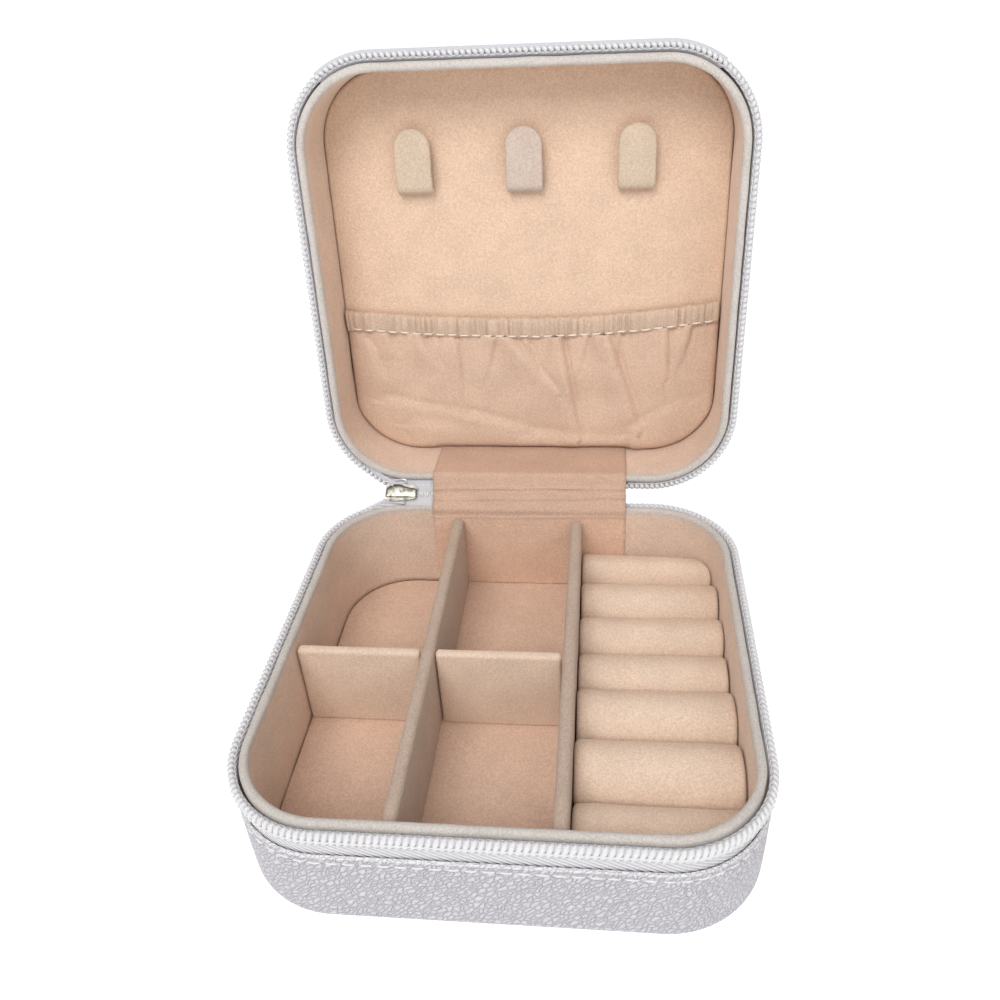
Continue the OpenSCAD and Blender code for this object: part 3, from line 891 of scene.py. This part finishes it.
def build_hem():
    """Hem with the elastic in it, gathered into small upright pleats."""
    xs = spread(-POCKET_HALF, POCKET_HALF, 0.22 * MM)
    rings = []
    for x in xs:
        full = hem_height(x)
        wave = 0.3 * MM * noise.noise(Vector((x / (1.4 * MM), 7.0, 0)))
        y0 = HEM_Y0 + hem_line(x) + wave
        y1 = HEM_Y1 + hem_line(x)
        high = PANEL_Z1 + full
        seam = PANEL_Z1 + 0.55 * full + 0.75 * MM
        low = PANEL_Z1 + 0.5 * MM
        section = [(y0, (high + low) / 2), (y0 + 0.25 * MM, high - 0.25 * MM),
                   (y0 + 1.0 * MM, high + 0.05 * MM), ((y0 + y1) / 2, high),
                   (y1 - 1.1 * MM, high - 0.05 * MM), (y1 - 0.25 * MM, seam),
                   (y1 + 0.5 * MM, seam - 0.1 * MM), (y1 + 0.8 * MM, seam - 0.7 * MM),
                   (y1 + 0.3 * MM, low), ((y0 + y1) / 2, low), (y0 + 0.4 * MM, low + 0.1 * MM)]
        rings.append([Vector((x, y, z)) for y, z in section])
    hem = outward(loft("pocket_hem_gathers", rings, matrix=TO_LID))
    place(hem, "hem", "lid", "pocket_cloth", "pocket_hem")
    rows = []
    for x in spread(-POCKET_HALF + 2.6 * MM, POCKET_HALF - 2.2 * MM, 3.0 * MM):
        points = []
        for t in (-1.0, -0.8, 0, 0.8, 1.0):
            at = x + t * MM
            lift = 2.35 * MM if abs(t) < 0.95 else 1.6 * MM
            points.append(Vector((at, HEM_Y1 - 0.15 * MM + hem_line(at), PANEL_Z1 + lift)))
        rows.append(tube(points, [0.14 * MM, 0.2 * MM, 0.22 * MM, 0.2 * MM, 0.14 * MM]))
    place(join_tubes("pocket_stitches", rows, TO_LID), "stitch", "lid", "pocket_cloth")


build_pocket()
build_hem()

# ------------------------------------------------------------------------------- zip

CHAIN = Vector((0, HALF - 0.6 * MM, (RIM_Z + LID_RIM) / 2))
TOOTH = 1.27 * MM
TAPE_T = 0.4 * MM
# How far below the rim the tape's upper and lower edges lie
TAPE_HIGH, TAPE_LOW = 0.9 * MM, 9.5 * MM
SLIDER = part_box("zip_slider")
# Where the left end of the rows starts to turn towards the chain, and where it arrives
LEFT_FREE, LEFT_MOUTH = -43 * MM, SLIDER[1].x - 3 * MM
# The rows end behind the hinge strip's edge at the right
RIGHT_END = HINGE_HALF - 0.15 * MM


def turn_share(x, y):
    """0 where a row lies on its own case half, 0.5 where it meets the chain."""
    if y < CORNER_AT - 0.1 * MM or x > 0:
        return 0.0
    t = (x - LEFT_FREE) / (2 * (LEFT_MOUTH - LEFT_FREE))
    return smooth(min(max(t, 0.0), 0.5))


def arc_at_x(x):
    """Distance round the outline, from the middle of the back, of a back point at x."""
    if abs(x) <= CORNER_AT:
        return abs(x)
    return CORNER_AT + CORNER_R * math.asin(min(1.0, (abs(x) - CORNER_AT) / CORNER_R))


def tooth_rings(s):
    """One loop of the coil, on the outside of the tape, in the shut box."""
    # along the tape, out from it, down from the rim, and the thread's radius, in mm
    path = [
        (-0.42, 0.20, 3.50, 0.40), (-0.40, 0.56, 3.15, 0.48), (-0.20, 0.62, 2.3, 0.52),
        (0.02, 0.64, 1.45, 0.54), (0.20, 0.60, 0.82, 0.56), (0.34, 0.36, 0.60, 0.50),
        (0.40, 0.12, 0.95, 0.38), (0.34, 0.04, 2.0, 0.30),
    ]
    points = [inset_at(s + along * MM, TAPE_IN - out * MM, RIM_Z - down * MM)
              for along, out, down, _ in path]
    return tube(points, [r * MM for _, _, _, r in path])


def near_chain(q, share):
    """Brings a point of the shut box's row to the chain as the row nears it."""
    k = 2 * share
    lift = k * (CHAIN.z - 0.9 * MM - (RIM_Z - 1.9 * MM))
    return Vector((q.x, q.y + 0.3 * MM * k, q.z + lift))


def turned_over(q):
    """A point of the base's row, moved to the lid's row of the shut box."""
    return Vector((q.x, q.y, RIM_Z + LID_RIM - q.z))


def end_bend(lid):
    """Rotates each point of a row's end as far as the open lid has turned it."""
    def bend(q, s):
        share = turn_share(q.x, q.y)
        q = near_chain(q, share)
        if lid:
            return swing_matrix(OPEN * (1 - share)) @ turned_over(q)
        return swing_matrix(OPEN * share) @ q
    return bend


S_LEFT, S_LEFT_FREE, S_RIGHT = arc_at_x(LEFT_MOUTH), arc_at_x(LEFT_FREE), ROUND - arc_at_x(RIGHT_END)


def rows_between(a, b):
    count = int(round((b - a) / TOOTH))
    return [a + (b - a) * (i + 0.5) / count for i in range(count)]


def squashed_tube(points, across, along):
    """Rings of a flat tube that stands upright beside the tape."""
    rings = []
    for i, p in enumerate(points):
        ahead = (points[min(i + 1, len(points) - 1)] - points[max(i - 1, 0)]).normalized()
        up = Vector((0, 0, 1)) if abs(ahead.z) < 0.6 else Vector((0, 1, 0))
        side = ahead.cross(up).normalized()
        up = side.cross(ahead)
        turns = [2 * math.pi * k / 10 for k in range(10)]
        rings.append([p + side * across * math.cos(a) + up * along * math.sin(a) for a in turns])
    return rings


def thread_tube(s_values):
    """Sewing thread over the coil, dipping between the teeth."""
    points = []
    for i, s in enumerate(s_values):
        over = 1 if i % 2 else -1
        points.append(inset_at(s, TAPE_IN - (1.0 + 0.16 * over) * MM, RIM_Z - (2.35 - 0.1 * over) * MM))
    return tube(points, [0.17 * MM] * len(points), 6)


def build_row(side):
    """Teeth, thread and tape of one half: the long run and its turned left end."""
    lid = side == "lid"
    bend = end_bend(lid)
    split = RIM_Z - 4.0 * MM

    def band(low, high):
        return [(TAPE_IN, low), (TAPE_IN + TAPE_T, low), (TAPE_IN + TAPE_T, high),
                (TAPE_IN + 0.2 * MM, high + 0.12 * MM), (TAPE_IN, high),
                (TAPE_IN - 0.05 * MM, high - 0.5 * (high - low))]

    for part, a, b in (("", S_LEFT_FREE, S_RIGHT), ("_left_end", S_LEFT, S_LEFT_FREE)):
        teeth = [
            [[bend(p, s) for p in ring] for ring in tooth_rings(s)]
            for s in rows_between(a, b)
        ]
        halfway = spread(a, b, TOOTH / 2)
        threads = [[[bend(p, 0) for p in ring] for ring in thread_tube(halfway)]]
        cord = [bend(inset_at(s, TAPE_IN - 0.3 * MM, RIM_Z - 1.75 * MM), s) for s in halfway]
        teeth_piece = join_tubes(f"{side}_zip_teeth{part}", teeth)
        cord_piece = join_tubes(f"{side}_zip_cord{part}", [squashed_tube(cord, 0.42 * MM, 1.25 * MM)])
        thread_piece = join_tubes(f"{side}_zip_thread{part}", threads)
        tape = band(split if part else RIM_Z - TAPE_LOW, RIM_Z - TAPE_HIGH)
        tape_piece = sweep(f"{side}_zip_twill{part}", tape, spread(a, b, 1.2 * MM), bend=bend)
        if part:
            still = sweep(f"{side}_zip_twill_tuck{part}", band(RIM_Z - TAPE_LOW, split - 0.1 * MM),
                          spread(a, b, 1.2 * MM), matrix=TO_LID_FROM_BASE if lid else None)
            place(still, "twill", side, "zip_tape")
        for piece, key, slot in ((teeth_piece, "coil", "zip_coil"), (cord_piece, "cord", "zip_tape"),
                                 (thread_piece, "thread", "zip_tape"),
                                 (tape_piece, "twill", "zip_tape")):
            paint(piece, key)
            if part:
                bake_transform(piece)
            else:
                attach(piece, side)
        if not part:
            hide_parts(side + "_zip_coil")
            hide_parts(side + "_zip_tape")
            outward(teeth_piece)


build_row("base")
build_row("lid")


def build_closed_stretch():
    """Meshed teeth between the slider and the hinge strip."""
    half_open = swing_matrix(OPEN / 2)
    a, b = HINGE_HALF + 0.45 * MM, arc_at_x(SLIDER[1].x - 0.5 * MM)
    rows = []
    for s in rows_between(a, b):
        for flip in (False, True):
            moved = []
            for ring in tooth_rings(s + (TOOTH / 2 if flip else 0)):
                points = [near_chain(p, 0.5) for p in ring]
                moved.append([half_open @ (turned_over(p) if flip else p) for p in points])
            rows.append(moved)
    place(join_tubes("zip_closed_teeth", rows), "coil", "zip_link", "zip_coil", "zip_closed_stretch")
    for name, z0, z1 in (("zip_closed_tape_low", -3.2, -0.12), ("zip_closed_tape_high", 0.12, 3.9)):
        lo = Vector((LEFT_MOUTH - 0.2 * MM, CHAIN.y - 0.1 * MM, CHAIN.z + z0 * MM))
        hi = Vector((-HINGE_HALF - 0.03 * MM, CHAIN.y + 0.3 * MM, CHAIN.z + z1 * MM))
        tape = slab(name, lo, hi, 0.12 * MM, "x", 1 * MM)
        tape.data.transform(half_open)
        place(tape, "closed", "zip_link", "zip_tape")


def build_slider_face():
    """Crowned cover on the slider's inner side: a round head and a square tail."""
    # its outline, as x from the middle and z from the chain, in mm
    edge = [(-4.0, -1.3), (-4.05, -0.4), (-4.0, 0.35), (-3.65, 1.05), (-2.9, 1.65), (-1.9, 2.0),
            (-0.8, 2.1), (0.2, 1.86), (1.2, 1.45), (2.2, 1.18), (3.3, 1.08), (3.85, 0.95), (4.0, 0.65),
            (4.02, -0.3), (4.0, -1.05), (3.8, -1.3), (2.0, -1.36), (0.0, -1.38), (-2.0, -1.36)]
    x0 = (SLIDER[0].x + SLIDER[1].x) / 2
    rings = []
    for out, inset in ((0.0, 0.0), (0.14, 0.0), (0.26, 0.1), (0.31, 0.3), (0.35, 0.75)):
        ring = []
        for x, z in edge:
            away = Vector((x, z - 0.3))
            p = away * (1 - inset / away.length)
            ring.append(Vector((x0 + p.x * MM, CHAIN.y - (0.98 + out) * MM, CHAIN.z + (p.y + 0.3) * MM)))
        rings.append(ring)
    face = outward(loft("slider_face", rings, matrix=swing_matrix(OPEN / 2)))
    # painted highlight: the face wears the lighter copy of the metal
    place(face, "lit_face_metal", "slider", "metal")


build_closed_stretch()
build_slider_face()
# the slider's body, in the darker copy, shows below its lighter face as the dark slot: painted shade
for node in ("zip_slider", "zip_pull_loop", "zip_pull_tab", "zip_end_stop"):
    paint(frame["nodes"][node], "metal")

# ---------------------------------------------------------------------- hinge strips

def strip_path(near, foot, lid_end):
    """Line of y and z up the back wall, over both rims and down the lid's wall."""
    base_mid = Vector((0, HALF - RIM_IN - RIM_R, RIM_Z - RIM_R))
    lid_mid = swing_matrix(OPEN) @ Vector((0, base_mid.y, LID_RIM + RIM_R))
    taut = math.degrees(math.atan2(lid_mid.z - base_mid.z, lid_mid.y - base_mid.y)) + 90
    last = 180 - math.degrees(OPEN)
    line = [Vector((0, base_mid.y - near, z)) for z in spread(foot, base_mid.z, 1 * MM)[:-1]]
    line += [Vector((0, y, z)) for y, z in arc((base_mid.y, base_mid.z), near, 180, taut, 5)]
    a = line[-1]
    over = [Vector((0, y, z)) for y, z in arc((lid_mid.y, lid_mid.z), near, taut, last, 8)]
    for i in range(1, 8):
        t = i / 8
        dip = 0.5 * MM * math.sin(math.pi * t)
        mid = a.lerp(over[0], t)
        line.append(mid + Vector((0, dip * 0.8, -dip * 0.6)))
    line += over
    down_wall = spread(LID_RIM + RIM_R, lid_end, 1 * MM)[1:]
    line += [swing_matrix(OPEN) @ Vector((0, base_mid.y - near, z)) for z in down_wall]
    return line


def resampled(line, step):
    """The same line with even steps."""
    lengths = [0.0]
    for a, b in zip(line, line[1:]):
        lengths.append(lengths[-1] + (b - a).length)
    out, k = [], 0
    for s in spread(0, lengths[-1], step):
        while k < len(line) - 2 and lengths[k + 1] < s:
            k += 1
        t = (s - lengths[k]) / (lengths[k + 1] - lengths[k])
        out.append(line[k].lerp(line[k + 1], t))
    return out


def ribbon(name, line, half, thickness, wobble, creases=()):
    """Strip as wide as the hinge along a line of y and z, with soft edges.

    creases are (distance along the line, depth, width, slant), and wander a little.
    """
    line = resampled(line, 0.25 * MM) if creases else line
    rings = []
    travel = 0.0
    for i, p in enumerate(line):
        travel += (p - line[i - 1]).length if i else 0.0
        ahead = (line[min(i + 1, len(line) - 1)] - line[max(i - 1, 0)]).normalized()
        up = Vector((1, 0, 0)).cross(ahead)
        w = half + wobble * noise.noise(Vector((i * 0.35, half * 1000, 0)))
        upper, lower = [], []
        for a in spread(-1, 1, 0.04 if creases else 0.06):
            sink = 0.0
            for at, deep, wide, slant in creases:
                wander = slant * a + 0.35 * MM * noise.noise(Vector((a * 2.5, at * 900, 0)))
                fade = 0.65 + 0.6 * noise.noise(Vector((a * 3.1, at * 500, 4.0)))
                sink += deep * fade * math.exp(-(((travel - at - wander) / wide) ** 2))
            rim = thickness / 2 * (1 if abs(a) < 0.995 else 0.5)
            middle = p + Vector((a * w, 0, 0)) + up * sink
            upper.append(middle - up * rim)
            lower.append(middle + up * rim)
        section = upper + lower[::-1]
        rings.append(section)
    return outward(loft(name, rings))


def build_hinge():
    """Velvet strip inside and leather spine outside, both blended from base to lid."""
    near = RIM_R + 0.33 * MM
    line = strip_path(near, FLOOR_Z + 0.1 * MM, LID_TOP - PANEL_Z1 - 0.1 * MM)
    over = sum((b - a).length for a, b in zip(line, line[1:]) if b.z < RIM_Z)
    # distance past the base's rim, depth, width and slant, in mm
    folds = [(2.6, 0.6, 0.3, 0.5), (5.2, 0.65, 0.3, 0.2), (3.9, 0.2, 0.3, -0.8), (-2.2, 0.2, 0.4, 0.3)]
    creases = [(over + at * MM, deep * MM, wide * MM, slant * MM) for at, deep, wide, slant in folds]
    strip = ribbon("hinge_velvet", line, HINGE_HALF, 0.4 * MM, 0.1 * MM, creases)
    ruffle(strip, 5 * MM, 0.12 * MM, 9.0)
    paint(strip, "strip")
    length = line_length(line)
    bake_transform(strip)
    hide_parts("hinge_lining")

    bend_r = 6 * MM
    y0 = HALF - LEATHER_IN
    lid_edge = LID_TOP - LID_FOLD - 0.3 * MM
    bend_end = swing_matrix(OPEN) @ Vector((0, y0, lid_edge - 1.5 * MM))
    mid = (y0 + bend_r, bend_end.z - bend_r * math.sin(OPEN))
    r = bend_r + LEATHER_T / 2
    up_back = spread(FOLD_Z - 0.2 * MM, mid[1], 1 * MM)[:-1]
    spine_line = [Vector((0, y0 - LEATHER_T / 2, z)) for z in up_back]
    spine_line += [Vector((0, y, z)) for y, z in arc(mid, r, 180, 180 - math.degrees(OPEN), 20)]
    spine_line.append(swing_matrix(OPEN) @ Vector((0, y0 - LEATHER_T / 2, lid_edge + 0.2 * MM)))
    spine = ribbon("hinge_leather", spine_line, HINGE_HALF, LEATHER_T, 0.0)
    paint(spine, "leather_flat")
    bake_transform(spine)
    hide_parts("hinge_spine")
    spine_long = line_length(spine_line)


build_hinge()

# Boards and foam keep their solids; the wall boards show beside the closed stretch in the shut box
for node in ("base_board_wall", "base_board_bottom", "lid_board_wall", "lid_board_top",
             "ring_card", "lid_foam"):
    paint(frame["nodes"][node], "card")

# ------------------------------------------------------------------- stage and camera

def build_stage():
    """Pale floor, soft studio world and two area lights."""
    bpy.ops.mesh.primitive_plane_add(size=4, location=(0, 0, -0.02 * MM))
    floor = bpy.context.object
    floor.name = "floor"
    n = Nodes("pale_floor")
    soft = n.noise(n.where(), 3.0, 1)
    n.set(Roughness=0.9, Specular_IOR_Level=0.1, Emission_Strength=0.82)
    n.shader.inputs["Emission Color"].default_value = (1, 1, 1, 1)
    n.link(n.mix(soft, (0.38, 0.38, 0.38), (0.42, 0.42, 0.42)), n.shader.inputs["Base Color"])
    floor.data.materials.append(n.material)
    world = bpy.data.worlds.new("studio")
    world.use_nodes = True
    world.node_tree.nodes["Background"].inputs[0].default_value = (1.0, 0.99, 0.98, 1)
    world.node_tree.nodes["Background"].inputs[1].default_value = 0.5
    bpy.context.scene.world = world
    # place, size, power and colour
    lights = {
        "key": ((-0.16, -0.56, 0.70), 0.45, 4.9, (1.0, 0.98, 0.96)),
        "fill": ((0.45, -0.45, 0.55), 0.6, 1.2, (1.0, 0.98, 0.97)),
    }
    for name, (at, size, power, colour) in lights.items():
        data = bpy.data.lights.new(name, "AREA")
        data.energy, data.size, data.color = power, size, colour
        lamp = bpy.data.objects.new(name, data)
        lamp.location = at
        aim = Vector((0, 0, 0.03)) - Vector(at)
        lamp.rotation_euler = aim.to_track_quat("-Z", "Y").to_euler()
        bpy.context.scene.collection.objects.link(lamp)
    bpy.context.scene.view_settings.view_transform = "Standard"


def build_camera():
    """Camera at the photograph's viewing angle, aimed at a point beside the hinge."""
    distance = 229.76 * MM
    azimuth, elevation, tilt = math.radians(7.075), math.radians(34.6), math.radians(-3.255)
    back = Vector((math.sin(azimuth) * math.cos(elevation),
                   -math.cos(azimuth) * math.cos(elevation), math.sin(elevation)))
    right = Vector((math.cos(azimuth), math.sin(azimuth), 0))
    up = back.cross(right)
    turned_right = right * math.cos(tilt) + up * math.sin(tilt)
    turned_up = up * math.cos(tilt) - right * math.sin(tilt)
    data = bpy.data.cameras.new("camera")
    data.sensor_width, data.lens = 36, 32.86
    data.shift_x, data.shift_y = -0.0086, 0.0061
    data.clip_start = 0.01
    camera = bpy.data.objects.new("camera", data)
    turn = Matrix((turned_right, turned_up, back)).transposed().to_4x4()
    target = Vector((-4.97 * MM, 47.14 * MM, RIM_Z))
    camera.matrix_world = Matrix.Translation(target + back * distance) @ turn
    bpy.context.scene.collection.objects.link(camera)
    bpy.context.scene.camera = camera


build_stage()
build_camera()
